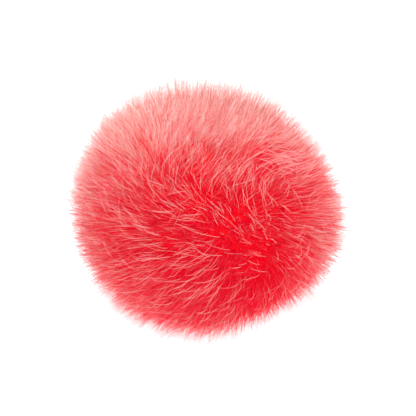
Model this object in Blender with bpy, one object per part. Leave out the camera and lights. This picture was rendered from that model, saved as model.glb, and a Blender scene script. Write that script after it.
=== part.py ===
"""A fur pom pom: one ball of long soft pile, resting on the flat spot where the fur is gathered.

The pile is one solid. Its backing is the packed inner ball, and every lock of fur is drawn out
of one facet of that ball, so that the roots are fused and the locks stand apart. The locks lean
and curl over as the fur was combed, and those underneath are short and end level on the floor.

Frame: metres, +Z up, the origin at the middle of the flat spot. The front is towards -Y.
"""

import math
import random

import bmesh
import bpy
from mathutils import Vector

# Driving dimensions of the whole ball, in metres.
PILE_WIDTH = 0.104
PILE_DEPTH = 0.103
PILE_HEIGHT = 0.090
CENTRE_HEIGHT = 0.0420
BACKING_SHARE = 0.68

# The flat spot under the ball, where the fur is gathered and where it is sewn on.
PAD_RADIUS = 0.0105
PAD_HALF_ANGLE = math.radians(21.0)
PAD_RIM = 0.0012

# The locks. Each has one facet of the backing for a root, and three sides.
SPIRAL_POINTS = 157
LOCK_GAP = 0.0007
LOCK_RINGS = (
    # name, share of the length, share of the room that the lock has there
    ("shoulder", 0.32, 0.93),
    ("belly", 0.60, 0.78),
    ("neck", 0.83, 0.46),
    ("tip", 1.00, 0.06),
)
LENGTH_SPREAD = 0.06
LEAN_SPREAD = 0.020
LOCK_BEND = 0.5  # how far a lock goes straight out before it leans, as a share of its length
SEED = 11

# How the fur is combed: the nap leans all over, and each tuft pushes the tips near it further.
# Azimuth runs from the front (-Y) towards +X, and elevation from the horizon, in degrees.
NAP = Vector((-0.26, 0.07, 0.06))
TUFTS = (
    # name, azimuth, elevation, spread in degrees, push of the tips in x, y and z, shorter by
    ("front parting", 24, 27, 30, -0.02, 0.02, 0.04, 0.02),
    ("low parting", 42, 8, 28, -0.20, 0.02, 0.14, 0.03),
    ("crown", 180, 62, 34, 0.22, 0.00, 0.02, 0.01),
    ("left flank", -62, 18, 34, 0.02, -0.06, 0.10, 0.00),
    ("lower left", -38, -16, 30, -0.10, -0.02, 0.02, 0.00),
    ("chin", 4, -28, 32, -0.06, -0.04, -0.02, 0.02),
    ("right flank", 78, 12, 32, 0.16, -0.04, 0.02, 0.00),
    ("upper right", 122, 44, 30, 0.12, 0.02, 0.12, 0.00),
    ("back", 178, 4, 40, 0.10, 0.02, -0.08, 0.02),
    ("back left", -128, 22, 34, 0.06, -0.08, -0.02, 0.00),
    ("foot", 0, -90, 40, 0.24, -0.06, 0.22, 0.00),
)

FUR_COLOUR = (0.85, 0.05, 0.05, 1.0)
FUR_ROUGHNESS = 0.75
CREASE_ANGLE = math.radians(40.0)

CENTRE = Vector((0.0, 0.0, CENTRE_HEIGHT))
TOP_RADIUS = PILE_HEIGHT - CENTRE_HEIGHT


def clear_scene():
    for obj in list(bpy.data.objects):
        bpy.data.objects.remove(obj)


def direction_of(azimuth, elevation):
    """The unit vector from the ball's centre at that azimuth and elevation in degrees."""
    a = math.radians(azimuth)
    e = math.radians(elevation)
    return Vector((math.sin(a) * math.cos(e), -math.cos(a) * math.cos(e), math.sin(e)))


def pile_radius(direction):
    """How far the pile reaches from the centre: an ellipsoid, a little flatter than round."""
    x = direction.x / (PILE_WIDTH / 2)
    y = direction.y / (PILE_DEPTH / 2)
    z = direction.z / TOP_RADIUS
    return 1.0 / math.sqrt(x * x + y * y + z * z)


def combed(direction):
    """Which way the tip of the fur rooted in that direction ends up, and its share of length."""
    tip = direction + NAP
    length = 1.0
    for _, azimuth, elevation, spread, push_x, push_y, push_z, shorter in TUFTS:
        angle = direction.angle(direction_of(azimuth, elevation))
        weight = math.exp(-((angle / math.radians(spread)) ** 2))
        tip = tip + weight * Vector((push_x, push_y, push_z))
        length -= weight * shorter
    return tip.normalized(), length


def spiral_direction(index, count):
    """Evenly spread directions on a sphere, along the golden spiral."""
    height = 1 - (2 * index + 1) / count
    turn = index * math.pi * (3 - math.sqrt(5))
    across = math.sqrt(1 - height * height)
    return Vector((across * math.cos(turn), across * math.sin(turn), height))


def backing_ball():
    """The packed inner ball, as the hull of evenly spread points: one facet for each lock."""
    ball = bmesh.new()
    for index in range(SPIRAL_POINTS):
        direction = spiral_direction(index, SPIRAL_POINTS)
        ball.verts.new(CENTRE + direction * pile_radius(direction) * BACKING_SHARE)
    bmesh.ops.convex_hull(ball, input=ball.verts)
    bmesh.ops.recalc_face_normals(ball, faces=ball.faces)
    return ball


def draw_down_pad(ball):
    """Presses the facets at the bottom into one flat round spot on the floor. Returns them."""
    down = Vector((0, 0, -1))
    pad = [f for f in ball.faces if (f.calc_center_median() - CENTRE).angle(down) < PAD_HALF_ANGLE]
    bmesh.ops.inset_region(ball, faces=pad, thickness=PAD_RIM, use_even_offset=True)
    spot = {v for f in pad for v in f.verts}
    inside = {v for v in spot if all(f in pad for f in v.link_faces)}
    for vert in spot:
        outward = Vector((vert.co.x, vert.co.y, 0))
        reach = outward.length if vert in inside else PAD_RADIUS
        vert.co = outward.normalized() * reach
    return pad


class Noise:
    """The small differences of one lock from its neighbours."""

    def __init__(self, chance):
        self.shorter = chance.uniform(0, LENGTH_SPREAD)
        self.lean = LEAN_SPREAD * Vector([chance.uniform(-1, 1) for _ in range(3)])


def hair_line(root, noise):
    """The line that the fur rooted there follows: points by the share of its length."""
    direction = (root - CENTRE).normalized()
    tip_direction, length = combed(direction)
    tip_direction = (tip_direction + noise.lean).normalized()
    tip = CENTRE + tip_direction * pile_radius(tip_direction) * (length - noise.shorter)
    if tip.z < 0:
        tip = root + (tip - root) * (root.z / (root.z - tip.z))
    bend = root + direction * (tip - root).length * LOCK_BEND

    def at(share):
        return root * (1 - share) ** 2 + bend * 2 * share * (1 - share) + tip * share**2

    return at


def draw_out_lock(ball, facet, noise):
    """Draws one lock out of a facet, a ring at a time. Its corners follow the combed fur, so
    that it fills its share of the room between its neighbours and never meets them."""
    lines = [hair_line(v.co, noise) for v in facet.verts]
    for _, share, width in LOCK_RINGS:
        facet = bmesh.ops.extrude_discrete_faces(ball, faces=[facet])["faces"][0]
        corners = [line(share) for line in lines]
        middle = sum(corners, Vector()) / len(corners)
        for vert, corner in zip(facet.verts, corners):
            vert.co = middle.lerp(corner, width)


def fur_material():
    material = bpy.data.materials.new("dyed fur")
    material.use_nodes = True
    shader = material.node_tree.nodes["Principled BSDF"]
    shader.inputs["Base Color"].default_value = FUR_COLOUR
    shader.inputs["Roughness"].default_value = FUR_ROUGHNESS
    shader.inputs["Metallic"].default_value = 0.0
    return material


def make_pompom(collection):
    ball = backing_ball()
    pad = set(draw_down_pad(ball))
    rim = {f for p in pad for e in p.edges for f in e.link_faces} - pad
    facets = [f for f in ball.faces if f not in pad and f not in rim]
    bmesh.ops.inset_individual(ball, faces=facets, thickness=LOCK_GAP / 2, use_even_offset=True)
    chance = random.Random(SEED)
    for facet in facets:
        draw_out_lock(ball, facet, Noise(chance))
    bmesh.ops.recalc_face_normals(ball, faces=ball.faces)
    mesh = bpy.data.meshes.new("pompom")
    ball.to_mesh(mesh)
    ball.free()
    mesh.materials.append(fur_material())
    mesh.shade_smooth()
    mesh.set_sharp_from_angle(angle=CREASE_ANGLE)
    collection.objects.link(bpy.data.objects.new("pompom", mesh))
    return len(facets)


clear_scene()
parts = bpy.data.collections.new("fur pom pom")
bpy.context.scene.collection.children.link(parts)
print("locks:", make_pompom(parts))
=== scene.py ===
import math

import bmesh
import bpy
import numpy as np
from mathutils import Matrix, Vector, kdtree, noise


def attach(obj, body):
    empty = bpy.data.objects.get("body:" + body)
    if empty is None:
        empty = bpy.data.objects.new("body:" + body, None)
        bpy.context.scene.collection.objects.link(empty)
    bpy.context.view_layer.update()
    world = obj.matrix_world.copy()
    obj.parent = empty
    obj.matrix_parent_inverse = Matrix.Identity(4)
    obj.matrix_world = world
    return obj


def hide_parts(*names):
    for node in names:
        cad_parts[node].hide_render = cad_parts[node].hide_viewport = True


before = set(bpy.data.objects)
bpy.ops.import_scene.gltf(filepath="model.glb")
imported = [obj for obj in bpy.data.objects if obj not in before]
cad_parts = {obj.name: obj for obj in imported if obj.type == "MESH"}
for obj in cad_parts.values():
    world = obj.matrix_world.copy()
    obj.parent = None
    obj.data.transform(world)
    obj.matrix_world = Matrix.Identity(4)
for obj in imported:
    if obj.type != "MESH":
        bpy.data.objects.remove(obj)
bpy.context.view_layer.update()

# ---------------------------------------------------------------------------------------------
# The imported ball. Inside the pile the roots of the hair stand so close that they look solid: a
# soft lumpy ball, drawn down to the flat spot where the circle of fur is gathered and sewn.
# ---------------------------------------------------------------------------------------------

# Lengths are in metres.
CENTRE = np.array([0.0, 0.0, 0.042])
HALF_SIZE = np.array([0.052, 0.0515, 0.048])  # the ball of hair tips, before it meets the floor
BALL_SHARE = 0.74  # of the way from the centre to the hair tips
LUMP_HEIGHT = 0.035  # as a share of the ball's own radius
LUMP_CLOSENESS = 5.0
FOOT_INSIDE = math.radians(5)  # seen from the centre, the foot is flat as far out as this,
FOOT_OUTSIDE = math.radians(14)  # and the ball has its round form from here on
FOOT_TOP = 0.0002  # what lies lower belongs to the foot and isn't smoothed


def reach(directions):
    """How far the ball of hair tips reaches from the centre in each of those unit directions."""
    return 1.0 / np.linalg.norm(directions / HALF_SIZE, axis=-1)


def linear(sheet_hex):
    """An sRGB hex value as the linear colour that a shader takes."""
    parts = [int(sheet_hex[i : i + 2], 16) / 255 for i in (1, 3, 5)]
    return [p / 12.92 if p <= 0.04045 else ((p + 0.055) / 1.055) ** 2.4 for p in parts] + [1.0]


def add_node(material, kind, settings=None, **links):
    """Adds a shader node, with its settings, its sockets' values and its links. A socket is
    given by its name, or as _6 by its number where several have the same name."""
    node = material.node_tree.nodes.new(kind)
    for name, value in (settings or {}).items():
        setattr(node, name, value)
    for name, value in links.items():
        numbered = name[1:].isdigit()
        socket = node.inputs[int(name[1:]) if numbered else name.replace("_", " ")]
        if isinstance(value, bpy.types.NodeSocket):
            material.node_tree.links.new(value, socket)
        else:
            socket.default_value = value
    return node


# Dyed underfur: matt, matted and a deep red, with darker and lighter streaks about 1 mm apart.
# The darker streaks are painted shade, for the shade where the roots of neighbouring tufts part.
# A red glow is painted light, for the light that comes down to it through the hair.
FELT_STREAKS_PER_METRE = 900.0
FELT_STREAK_HEIGHT = 0.0004

underfur_felt = bpy.data.materials.new("dyed_underfur_and_painted_light")
underfur_felt.use_nodes = True
felt_shader = underfur_felt.node_tree.nodes["Principled BSDF"]
felt_shader.inputs["Roughness"].default_value = 0.9
felt_shader.inputs["Specular IOR Level"].default_value = 0.1
# Painted light: a red glow for the light that comes down through the hair.
felt_shader.inputs["Emission Color"].default_value = linear("#ff0420")
felt_shader.inputs["Emission Strength"].default_value = 0.4
felt_place = add_node(underfur_felt, "ShaderNodeTexCoord")
felt_streaks = add_node(
    underfur_felt, "ShaderNodeTexNoise",
    Vector=felt_place.outputs["Object"], Scale=FELT_STREAKS_PER_METRE, Detail=3.0,
)
# Painted shade: the darker streaks stand for shade where the roots of the tufts part.
felt_dye_and_shade = add_node(underfur_felt, "ShaderNodeValToRGB", Fac=felt_streaks.outputs["Fac"])
felt_dye_and_shade.color_ramp.elements[0].position = 0.35
felt_dye_and_shade.color_ramp.elements[0].color = linear("#c80f1c")
felt_dye_and_shade.color_ramp.elements[1].position = 0.65
felt_dye_and_shade.color_ramp.elements[1].color = linear("#ee2430")
underfur_felt.node_tree.links.new(felt_dye_and_shade.outputs["Color"], felt_shader.inputs["Base Color"])
felt_bump = add_node(
    underfur_felt, "ShaderNodeBump",
    Height=felt_streaks.outputs["Fac"], Distance=FELT_STREAK_HEIGHT,
)
underfur_felt.node_tree.links.new(felt_bump.outputs["Normal"], felt_shader.inputs["Normal"])

ball = bmesh.new()
bmesh.ops.create_icosphere(ball, subdivisions=5, radius=1.0)
for vert in ball.verts:
    direction = vert.co.normalized()
    lumps = 1 + LUMP_HEIGHT * noise.noise(direction * LUMP_CLOSENESS)
    out = Vector(CENTRE) + direction * float(reach(np.array(direction))) * BALL_SHARE * lumps
    below = direction.angle(Vector((0, 0, -1)))
    drawn = min(max((FOOT_OUTSIDE - below) / (FOOT_OUTSIDE - FOOT_INSIDE), 0.0), 1.0)
    out.z *= 1 - drawn * drawn * (3 - 2 * drawn)
    vert.co = out
bmesh.ops.smooth_vert(ball, verts=[v for v in ball.verts if v.co.z > FOOT_TOP], factor=0.5)
ball_mesh = bpy.data.meshes.new("packed_ball")
ball.to_mesh(ball_mesh)
ball.free()
ball_mesh.shade_smooth()
ball_mesh.materials.append(underfur_felt)
packed_ball = bpy.data.objects.new("packed_ball", ball_mesh)
bpy.context.scene.collection.objects.link(packed_ball)
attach(packed_ball, "root")
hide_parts("pompom")

# ---------------------------------------------------------------------------------------------
# The underfur. Dense, fine and soft, it makes the round form of the pile. Each hair is a thin
# spike that leans as the coat is combed, and neighbours cling together into small pointed locks.
# ---------------------------------------------------------------------------------------------

ROOT_SHARE = 0.70  # the hair is rooted this share of the way from the centre to the hair tips
NAP = np.array([-0.07, 0.05, 0.03])  # the lean of the whole coat
TUFTS = (
    # name, azimuth, elevation, spread in degrees, push of the tips in x, y and z, opens by
    ("whorl", 14, 38, 74, 0.04, -0.04, -0.09, 0.11),
    ("upper end of the parting", -2, 45, 15, 0.00, 0.02, -0.09, 0.03),
    ("lower end of the parting", 24, 13, 31, -0.07, 0.12, 0.07, -0.02),
    ("brow", -17, 61, 30, 0.14, 0.00, 0.05, -0.19),
    ("left cheek", -37, 29, 21, -0.01, -0.01, 0.06, -0.19),
    ("right cheek", 54, 53, 14, 0.02, -0.03, -0.10, 0.11),
    ("left flank", -63, 2, 21, 0.06, 0.02, 0.06, 0.15),
    ("right flank", 48, 24, 13, -0.10, 0.01, -0.03, 0.19),
    ("lower left", -17, -14, 22, -0.03, 0.00, 0.05, 0.02),
    ("chin", 20, -28, 33, -0.12, -0.08, 0.09, -0.02),
    ("low right", 29, 1, 13, -0.08, 0.02, 0.04, 0.10),
    ("crown", 185, 60, 52, 0.13, 0.05, 0.00, -0.08),
    ("upper right", 125, 38, 28, 0.06, 0.02, 0.04, 0.00),
    ("back", 178, 4, 40, 0.06, 0.02, -0.06, 0.15),
    ("back left", -128, 12, 34, 0.04, -0.06, -0.02, 0.00),
    ("foot", 0, -90, 40, 0.06, 0.00, 0.12, 0.00),
)
# The paler-by column is partly painted light and shade: patches are painted paler where light falls
# on the coat and shines through its rim, and deeper along the parting, where the coat lies in
# shade.
PATCHES = (
    # name, azimuth, elevation, spread in degrees, longer by, paler by
    ("crown", 180, 62, 33, -0.080, 1.30),
    ("brow", 0, 80, 40, -0.02, 0.06),
    ("upper right", 115, 30, 28, -0.06, 0.15),
    ("low end of the parting", 26, 60, 5, -0.02, -0.12),
    ("parting", 46, 64, 6, -0.03, -0.22),
    ("high end of the parting", 72, 65, 5, -0.03, -0.20),
    ("ruffled patch", 53, 51, 8, 0.00, -0.22),
    ("upper left", -130, 42, 32, 0.145, 0.32),
    ("right shoulder", 64, 14, 20, 0.00, 0.10),
    ("right flank", 80, -14, 26, 0.09, 0.32),
    ("left cheek", -47, 24, 18, 0.00, 0.06),
    ("left shoulder", -106, 20, 22, 0.02, 0.05),
    ("left flank", -84, 6, 30, 0.01, 0.24),
    ("lower left", -52, -20, 20, 0.00, 0.12),
    ("forehead", 20, 55, 35, 0.00, 0.035),
    ("belly", 20, -2, 30, 0.00, -0.036),
    ("chin", -6, -42, 24, 0.00, 0.08),
    ("low right", 39, -48, 20, -0.08, 0.00),
    ("back", 178, 4, 40, 0.00, 0.15),
)
LONGEST_REACH = np.array([0.0555, 0.0543, 0.0575])  # no hair's tip stands further out
LYING = (0.0002, 0.0025)  # how high the tips lie that are splayed out by the floor
ROOT_SHAKE = 1.4  # how unevenly the roots stand
LOCK_SHAKE = 1.0  # and the locks
BEND_SHAKE = 0.06  # how far a hair's way out of the skin strays from straight out
TAPER = 0.75  # of its width, lost on the way from the root to the tip, which is a point
LEAST_WIDTH = 0.35  # of a hair's width, where it is finer because it stands out


def unit(vectors):
    return vectors / np.linalg.norm(vectors, axis=-1, keepdims=True)


def towards(azimuth, elevation):
    """The unit vector at that azimuth from the front and that elevation, in degrees."""
    a, e = math.radians(azimuth), math.radians(elevation)
    return np.array([math.sin(a) * math.cos(e), -math.cos(a) * math.cos(e), math.sin(e)])


def nearness(directions, middle, spread):
    """From 1 at the middle of a tuft to 0 well outside it."""
    angle = np.arccos(np.clip(directions @ middle, -1, 1))
    return np.exp(-((angle / math.radians(spread)) ** 2))


def combed(directions):
    """Which way the tip of the hair rooted in each direction ends up."""
    tips = directions + NAP
    for _, azimuth, elevation, spread, push_x, push_y, push_z, opens in TUFTS:
        middle = towards(azimuth, elevation)
        push = np.array([push_x, push_y, push_z]) + opens * (directions - middle)
        tips = tips + nearness(directions, middle, spread)[:, None] * push
    return unit(tips)


def length_there(directions):
    """How long the coat is where its tips point in each direction, as a share of the plain ball."""
    share = np.ones(len(directions))
    for _, azimuth, elevation, spread, longer, _ in PATCHES:
        share += longer * nearness(directions, towards(azimuth, elevation), spread)
    return share


ABOVE = unit(np.array([-0.10, 0.60, 0.80]))  # up and back, where the light falls most and the coat is painted palest
PALE_EVERYWHERE = 0.019
# Painted light: how much paler the coat is where it faces up and back, towards the light.
PAINTED_LIGHT_ABOVE = 0.76


def paleness_there(directions):
    """How pale the middling hair is there, from 0 to 1. It is painted paler above and behind,
    where the light falls most, and the patches paint light and shade on it as well.
    """
    share = PALE_EVERYWHERE + PAINTED_LIGHT_ABOVE * np.clip(directions @ ABOVE, 0, 1) ** 2
    for _, azimuth, elevation, spread, _, paler in PATCHES:
        share += paler * nearness(directions, towards(azimuth, elevation), spread)
    return share


def spread_out(count, chance, shake):
    """Evenly spread directions, along a golden spiral. Each is shaken a little: with a shake of
    1, by about a quarter of the space between two."""
    index = np.arange(count)
    height = 1 - (2 * index + 1) / count
    turn = index * math.pi * (3 - math.sqrt(5))
    across = np.sqrt(1 - height**2)
    even = np.stack([across * np.cos(turn), across * np.sin(turn), height], axis=1)
    return unit(even + chance.normal(0, shake / math.sqrt(count), (count, 3)))


class Locks:
    """Groups of hair whose tips cling together, with a lean and a length of their own."""

    def __init__(self, count, lean, shorter, seed):
        chance = np.random.default_rng(seed)
        middles = spread_out(count, chance, LOCK_SHAKE)
        self.tips = unit(combed(middles) + chance.normal(0, lean, (count, 3)))
        self.lean = self.tips - combed(middles)
        self.shorter = chance.uniform(0, shorter, count)
        self.tone = chance.uniform(-1, 1, count)
        self.tree = kdtree.KDTree(count)
        for index, middle in enumerate(middles):
            self.tree.insert(middle, index)
        self.tree.balance()

    def of(self, directions):
        """Which lock each hair rooted in those directions belongs to."""
        return np.array([self.tree.find(d)[1] for d in directions])


SMALL_LOCKS = Locks(12000, lean=0.020, shorter=0.03, seed=21)
BIG_LOCKS = Locks(420, lean=0.030, shorter=0.03, seed=22)
LOCK_TONE = 0.95  # how much paler or deeper a whole small lock may be than the coat there

# The map that the hair's colours are read from: root to tip runs up it, and from a deeply to a
# lightly dyed hair across it. Each hair is a narrow strip there, moved sideways by its own tone.
MAP_EDGE = 0.005
MAP_WIDTH = 0.985
HAIR_ON_MAP = 0.004
ROOT_END_ON_MAP = 0.01


def one_hair(cuts):
    """A hair standing on the origin: a three-sided spike, cut across where it may bend."""
    spike = bmesh.new()
    bmesh.ops.create_cone(spike, cap_ends=True, segments=3, radius1=1.0, radius2=0.0, depth=1.0)
    bmesh.ops.translate(spike, verts=spike.verts, vec=(0, 0, 0.5))
    for share in cuts:
        whole = spike.verts[:] + spike.edges[:] + spike.faces[:]
        bmesh.ops.bisect_plane(spike, geom=whole, plane_co=(0, 0, share), plane_no=(0, 0, 1))
    layer = spike.loops.layers.uv.new("OFBake")
    for face in spike.faces:
        middle = face.calc_center_median()
        for loop in face.loops:
            # The flat end at the root gets a little height on the map, so it has an area there.
            far_side = (loop.vert.co - middle).dot(middle.cross(Vector((0, 0, 1)))) > 0
            root_end = face.normal.z < -0.9 and loop.vert.co.x > 0.1
            loop[layer].uv = (
                HAIR_ON_MAP * far_side, loop.vert.co.z + (ROOT_END_ON_MAP if root_end else 0.0)
            )
    mesh = bpy.data.meshes.new("hair")
    spike.to_mesh(mesh)
    spike.free()
    return mesh


def grow(name, cuts, root, bend, tip, width, tone, chance, starts=0.0):
    """Copies one hair many times over and bends each copy along its own line from root to tip.
    Where only a hair's outer part is made, it starts at that share of a whole hair's colours."""
    count = len(root)
    piece = bpy.data.objects.new(name, one_hair(cuts))
    bpy.context.scene.collection.objects.link(piece)
    copies = piece.modifiers.new("copies", "ARRAY")
    copies.count = count
    copies.use_relative_offset = False
    bpy.context.view_layer.update()
    evaluated = piece.evaluated_get(bpy.context.evaluated_depsgraph_get())
    coat = bpy.data.meshes.new_from_object(evaluated)
    piece.modifiers.clear()
    piece.data = coat
    coat.name = name

    place = np.empty(len(coat.vertices) * 3, np.float32)
    coat.vertices.foreach_get("co", place)
    place = place.reshape(count, -1, 3)
    share = place[0, :, 2][None, :, None]
    around = place[0, :, :2]
    size = np.linalg.norm(around, axis=1, keepdims=True)
    around = np.where(size > 1e-5, around / np.maximum(size, 1e-5), 0.0)
    root, bend, tip = (a[:, None, :] for a in (root, bend, tip))
    line = root * (1 - share) ** 2 + bend * 2 * share * (1 - share) + tip * share**2
    along = (bend - root) * 2 * (1 - share) + (tip - bend) * 2 * share
    spin = unit(chance.normal(0, 1, (count, 3)))[:, None, :]
    side = unit(np.cross(along, spin))
    other = unit(np.cross(along, side))
    thick = width[:, None, None] / 2 * (1 - TAPER * share**3)
    line = line + thick * (side * around[None, :, :1] + other * around[None, :, 1:])
    coat.vertices.foreach_set("co", line.astype(np.float32).ravel())

    layer = coat.uv_layers["OFBake"]
    spots = np.empty(len(coat.loops) * 2, np.float32)
    layer.uv.foreach_get("vector", spots)
    spots = spots.reshape(count, -1, 2)
    spots[:, :, 0] += MAP_EDGE + MAP_WIDTH * tone[:, None]
    spots[:, :, 1] = starts + (1 - starts) * spots[:, :, 1]
    layer.uv.foreach_set("vector", spots.ravel())
    coat.update()
    coat.shade_smooth()
    return piece


def held_in(tips):
    """Draws tips that stand further out than the longest hairs do back in."""
    out = np.linalg.norm((tips - CENTRE) / LONGEST_REACH, axis=1, keepdims=True)
    return CENTRE + (tips - CENTRE) / np.maximum(1.0, out)


TONE_LIMITS = (0.02, 0.98)
STANDS_OUT = 0.93  # of the plain ball: what is longer than this stands out of its lock,
MOST_STANDING_OUT = 0.20  # and counts as standing out by no more than this
LESS_CLING = 5  # a hair clings to its lock the less by this many times how far it stands out


def coat_lines(
    count, seed, shortest, longest, skew, looser_above, looser_below, lean, tufted, cling, paler,
    even_tone, width, finer, bleached_and_lit,
):
    """Roots, bends, tips, widths and tones of that many hairs.

    Lengths run from the shortest to the longest, as shares of the plain ball. A skew above 1
    makes most of them short, and their range is multiplied by looser_above where the coat faces
    up and back, and by looser_below on the far side. Each hair leans a little by chance, leans
    with its big lock as far as it is tufted, and clings to its small lock. The coat's paleness
    is multiplied by paler, a larger even_tone makes neighbours more alike, and a hair is the
    finer and the paler the more it stands out, partly for bleaching and partly as painted light
    for the light that shines through and glints on it."""
    chance = np.random.default_rng(seed)
    facing = spread_out(count, chance, ROOT_SHAKE)
    facing = facing[facing[:, 2] > -math.cos(FOOT_INSIDE)]
    small, big = SMALL_LOCKS.of(facing), BIG_LOCKS.of(facing)
    big_lean = BIG_LOCKS.lean[big] * tufted
    tip_way = combed(facing) + big_lean + chance.normal(0, lean, facing.shape)
    looser = np.interp(combed(facing) @ ABOVE, (-1, 0, 1), (looser_below, 1, looser_above))
    spread = (longest - shortest) * looser
    length = shortest + spread * chance.random(len(facing)) ** skew
    stands_out = np.clip(length - STANDS_OUT, 0, MOST_STANDING_OUT)
    pull = (chance.uniform(*cling, len(facing)) * (1 - LESS_CLING * stands_out))[:, None]
    tip_way = unit(tip_way * (1 - pull) + (SMALL_LOCKS.tips[small] + big_lean) * pull)

    size = length * length_there(tip_way)
    size -= (SMALL_LOCKS.shorter[small] + BIG_LOCKS.shorter[big]) * tufted
    root = CENTRE + facing * (reach(facing) * ROOT_SHARE)[:, None]
    tip = held_in(CENTRE + tip_way * (reach(tip_way) * size)[:, None])
    straight = np.linalg.norm(tip - root, axis=1, keepdims=True)

    # A tip that would end under the floor is splayed outward and rests on it instead.
    resting = chance.uniform(*LYING, (len(facing), 1))
    outward = unit((tip - root)[:, :2])
    flat = np.sqrt(np.maximum(straight**2 - (root[:, 2:] - resting) ** 2, 0))
    lying = np.hstack([root[:, :2] + outward * flat, resting])
    tip = np.where(tip[:, 2:] < resting, lying, tip)
    bend = root + (facing + chance.normal(0, BEND_SHAKE, facing.shape)) * straight * 0.5

    thick = chance.uniform(*width, len(facing))
    thick = thick * np.clip(1 - finer * stands_out, LEAST_WIDTH, 1)
    tone = paler * paleness_there(tip_way) * (1 + LOCK_TONE * SMALL_LOCKS.tone[small])
    # Partly painted light: hairs that stand out are paler, for bleaching and for the light that
    # shines through and glints on them.
    tone = np.clip(tone + bleached_and_lit * stands_out, *TONE_LIMITS) * even_tone
    tone = chance.beta(tone, even_tone - tone)
    tone = np.clip(tone + bleached_and_lit * stands_out, 0, 1)
    return root, bend, tip, thick, tone, chance


# Dyed fur fibre: soft, with little sheen. It is a deep red near the root, coral along the shaft
# and paler at the tip where the dye took least. A weak red glow all over it is painted light, for
# the light that comes through many hairs, and its palest colours are partly painted highlights
# and light shining through the thin tips.
dyed_fur_and_painted_light = bpy.data.materials.new("dyed_fur_and_painted_light")
dyed_fur_and_painted_light.use_nodes = True
fur_shader = dyed_fur_and_painted_light.node_tree.nodes["Principled BSDF"]
fur_shader.inputs["Roughness"].default_value = 0.5
fur_shader.inputs["Specular IOR Level"].default_value = 0.06
# Painted light: a weak red glow for the light that comes through many hairs.
fur_shader.inputs["Emission Color"].default_value = linear("#ff0a30")
fur_shader.inputs["Emission Strength"].default_value = 0.25
fur_map = add_node(dyed_fur_and_painted_light, "ShaderNodeUVMap", {"uv_map": "OFBake"})
fur_parts = add_node(dyed_fur_and_painted_light, "ShaderNodeSeparateXYZ", Vector=fur_map.outputs["UV"])


def fur_ramp(*stops):
    """Colours of a hair from root to tip, as pairs of a share of its length and a colour."""
    dye = add_node(dyed_fur_and_painted_light, "ShaderNodeValToRGB", Fac=fur_parts.outputs["Y"])
    ramp = dye.color_ramp
    while len(ramp.elements) < len(stops):
        ramp.elements.new(0.5)
    for element, (share, colour) in zip(ramp.elements, stops):
        element.position = share
        element.color = linear(colour)
    return dye.outputs["Color"]


deep = fur_ramp((0.0, "#d80028"), (0.50, "#e40032"), (0.80, "#ea003a"), (1.0, "#ee2846"))
# Partly painted light: the pale colours and near-white tips stand for highlights on the hair and
# light shining through it.
light = fur_ramp((0.0, "#e62030"), (0.30, "#ec9680"), (0.58, "#ecd6c8"), (1.0, "#f4f0ee"))
fur_colour = add_node(
    dyed_fur_and_painted_light, "ShaderNodeMix", {"data_type": "RGBA"}, _0=fur_parts.outputs["X"], _6=deep, _7=light
)
dyed_fur_and_painted_light.node_tree.links.new(fur_colour.outputs[2], fur_shader.inputs["Base Color"])

for number, seed in enumerate((31, 32), start=1):
    underfur = grow(f"underfur_{number}", (), *coat_lines(
        22000, seed, shortest=0.77, longest=0.91, skew=1.5, looser_above=0.3, looser_below=1.25,
        lean=0.025, tufted=1.0, cling=(0.05, 0.45), paler=0.7, even_tone=1.1,
        width=(0.00022, 0.00032), finer=0, bleached_and_lit=1.5,
    ))
    underfur.data.materials.append(dyed_fur_and_painted_light)
    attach(underfur, "root")
    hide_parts("pompom")

# ---------------------------------------------------------------------------------------------
# The guard hair. Longer, stronger and lighter than the underfur, it stands past it all round
# the ball, and its pale tips give the pile its streaks. Their paleness is partly painted
# highlights and light shining through the tips.
# ---------------------------------------------------------------------------------------------

for number, seed in enumerate((41, 42, 43), start=1):
    guard_hair = grow(f"guard_hair_{number}", (0.75,), *coat_lines(
        17000, seed, shortest=0.81, longest=1.02, skew=2.2, looser_above=0.3, looser_below=1.25,
        lean=0.03, tufted=1.0, cling=(0.1, 0.45), paler=1.5, even_tone=1.0,
        width=(0.00026, 0.00038), finer=8, bleached_and_lit=1.8,
    ))
    guard_hair.data.materials.append(dyed_fur_and_painted_light)
    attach(guard_hair, "root")
    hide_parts("pompom")

# ---------------------------------------------------------------------------------------------
# The haze. The finest and longest hairs stand past the rest of the coat on all sides, so thin and
# so lightly dyed that the ball has no hard edge. Their pale colour is partly painted light, for the
# light that shines through thin hairs at the rim.
# ---------------------------------------------------------------------------------------------

HIDDEN_SHARE = 0.3  # of a long hair's length, buried in the rest of the coat and not made

for number, seed in enumerate((45, 46), start=1):
    root, bend, tip, *finish = coat_lines(
        28000, seed, shortest=0.86, longest=1.14, skew=1.5, looser_above=1.5, looser_below=0.5,
        lean=0.06, tufted=0.4, cling=(0.0, 0.30), paler=1.7, even_tone=1.2,
        width=(0.00007, 0.00010), finer=0, bleached_and_lit=0.6,
    )
    root = root + (tip - root) * HIDDEN_SHARE
    haze = grow(f"haze_{number}", (), root, bend, tip, *finish, starts=0.4)
    haze.data.materials.append(dyed_fur_and_painted_light)
    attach(haze, "root")
    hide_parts("pompom")

# ---------------------------------------------------------------------------------------------
# Stray hair. The longest pale hairs lie over the coat. Most follow the comb, some slipped it and
# cross low on the front, and one patch at the upper right is ruffled, so its light tips show.
# ---------------------------------------------------------------------------------------------

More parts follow.
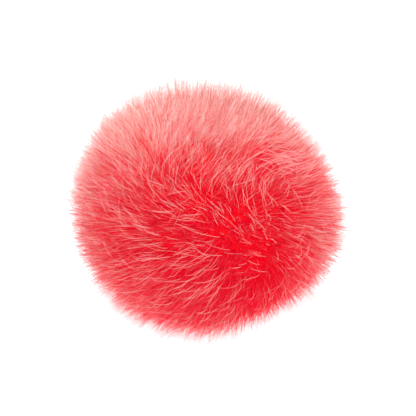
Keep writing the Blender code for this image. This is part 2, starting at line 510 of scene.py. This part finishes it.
STRAYS = (
    # name, azimuth, elevation, spread in degrees, count, shortest and longest in metres, turned
    # from the comb by so many degrees, and by how many either way
    ("low sweep", -8, 14, 13, 26, 0.006, 0.012, 25, 20),
    ("low crossing", 0, 2, 9, 20, 0.004, 0.009, 50, 25),
    ("middle crossing", -8, 38, 13, 14, 0.003, 0.008, 60, 40),
    ("right crossing", 46, 8, 11, 26, 0.004, 0.009, -40, 50),
    ("ruffled patch", 53, 51, 8, 120, 0.003, 0.007, -25, 40),
    ("left swirl", -83, 47, 8, 50, 0.003, 0.007, -35, 50),
    ("all over", 0, 90, 120, 160, 0.004, 0.010, 0, 60),
    ("combed with the coat", 0, 40, 100, 650, 0.003, 0.010, 0, 14),
)
LOWEST_STRAY = -0.4  # as the height of its direction from the centre
STRAY_GATHERED = 1.4  # larger values gather the strays nearer to the middle of their patch
STRAY_CURL = 0.04
# How far out a stray lies, as shares of the coat's own length there: its root is under the
# surface, and its bend and tip are close below it.
STRAY_ROOT = 0.92
STRAY_BEND = (0.95, 1.00)
STRAY_TIP = (0.94, 0.99)
STRAY_WIDTH = (0.00007, 0.00013)
STRAY_TONE = (0.7, 1.0)
STRAY_CUTS = (0.15, 0.3, 0.5, 0.7, 0.85)  # it bends most, so it has the most cuts

chance = np.random.default_rng(51)
stray_root, stray_bend, stray_tip = [], [], []
for _, azimuth, elevation, spread, count, shortest, longest, turned, either_way in STRAYS:
    middle = towards(azimuth, elevation)
    facing = unit(middle + chance.normal(0, math.radians(spread) / STRAY_GATHERED, (count, 3)))
    facing = facing[facing[:, 2] > LOWEST_STRAY]
    aside = unit(np.cross(facing, combed(facing)))
    onward = np.cross(aside, facing)
    turn = np.radians(turned + chance.uniform(-either_way, either_way, len(facing)))[:, None]
    ahead = onward * np.cos(turn) + aside * np.sin(turn)
    curl = np.cross(facing, ahead) * chance.normal(0, STRAY_CURL, (len(facing), 1))
    length = chance.uniform(shortest, longest, len(facing))[:, None]
    size = (reach(facing) * length_there(facing))[:, None]
    over = unit(facing * size + (ahead * 0.5 + curl) * length)
    end = unit(facing * size + ahead * length)
    stray_root.append(CENTRE + facing * size * STRAY_ROOT)
    stray_bend.append(CENTRE + over * size * chance.uniform(*STRAY_BEND, (len(facing), 1)))
    stray_tip.append(CENTRE + end * size * chance.uniform(*STRAY_TIP, (len(facing), 1)))
stray_root = np.concatenate(stray_root)
stray_width = chance.uniform(*STRAY_WIDTH, len(stray_root))
stray_tone = chance.uniform(*STRAY_TONE, len(stray_root))
stray_hair = grow(
    "stray_hair", STRAY_CUTS, stray_root, held_in(np.concatenate(stray_bend)),
    held_in(np.concatenate(stray_tip)), stray_width, stray_tone, chance, starts=0.6,
)
stray_hair.data.materials.append(dyed_fur_and_painted_light)
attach(stray_hair, "root")
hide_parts("pompom")

# ---------------------------------------------------------------------------------------------
# Camera, floor and light. A long lens looks down on the ball from the front, in an even white
# light that is strongest from above and behind.
# ---------------------------------------------------------------------------------------------

CAMERA_ELEVATION = math.radians(35)
CAMERA_DISTANCE = 0.416
CAMERA_AIM = (0.0005, 0, 0.0425)
CAMERA_LENS = 100  # in millimetres
FLOOR_HALF_SIDE = 3.0
FLOOR_BELOW = 0.0002  # a hair's width under the part, so that the two never share a face

camera_data = bpy.data.cameras.new("camera")
camera_data.lens = CAMERA_LENS
camera = bpy.data.objects.new("camera", camera_data)
bpy.context.scene.collection.objects.link(camera)
bpy.context.scene.camera = camera
back = Vector((0, -math.cos(CAMERA_ELEVATION), math.sin(CAMERA_ELEVATION)))
camera.location = Vector(CAMERA_AIM) + back * CAMERA_DISTANCE
camera.rotation_mode = "QUATERNION"
camera.rotation_quaternion = (-back).to_track_quat("-Z", "Y")

# White paper: matt, and so brightly lit that it glows and hardly a shadow shows on it.
white_paper = bpy.data.materials.new("white_paper")
white_paper.use_nodes = True
paper_shader = white_paper.node_tree.nodes["Principled BSDF"]
paper_shader.inputs["Base Color"].default_value = (0.8, 0.8, 0.8, 1)
paper_shader.inputs["Roughness"].default_value = 0.9
paper_shader.inputs["Emission Color"].default_value = (1, 1, 1, 1)
paper_shader.inputs["Emission Strength"].default_value = 0.90
sheet = bmesh.new()
bmesh.ops.create_grid(sheet, x_segments=1, y_segments=1, size=FLOOR_HALF_SIDE)
bmesh.ops.translate(sheet, verts=sheet.verts, vec=(0, 0, -FLOOR_BELOW))
sheet_mesh = bpy.data.meshes.new("floor")
sheet.to_mesh(sheet_mesh)
sheet.free()
sheet_mesh.materials.append(white_paper)
floor = bpy.data.objects.new("floor", sheet_mesh)
bpy.context.scene.collection.objects.link(floor)


def soft_light(name, place, size, power):
    """A square softbox at that place, turned to the ball."""
    data = bpy.data.lights.new(name, "AREA")
    data.shape = "SQUARE"
    data.size = size
    data.energy = power
    light = bpy.data.objects.new(name, data)
    light.location = place
    light.rotation_mode = "QUATERNION"
    light.rotation_quaternion = (Vector(CENTRE) - Vector(place)).to_track_quat("-Z", "Y")
    bpy.context.scene.collection.objects.link(light)


soft_light("overhead", (0.00, 0.40, 0.70), 0.3, 6.5)
soft_light("front_fill", (0.05, -0.8, 0.5), 0.8, 2.9)

room = bpy.data.worlds.new("white_room")
room.use_nodes = True
room.node_tree.nodes["Background"].inputs["Color"].default_value = (1, 1, 1, 1)
room.node_tree.nodes["Background"].inputs["Strength"].default_value = 0.46
bpy.context.scene.world = room
bpy.context.scene.view_settings.view_transform = "Standard"
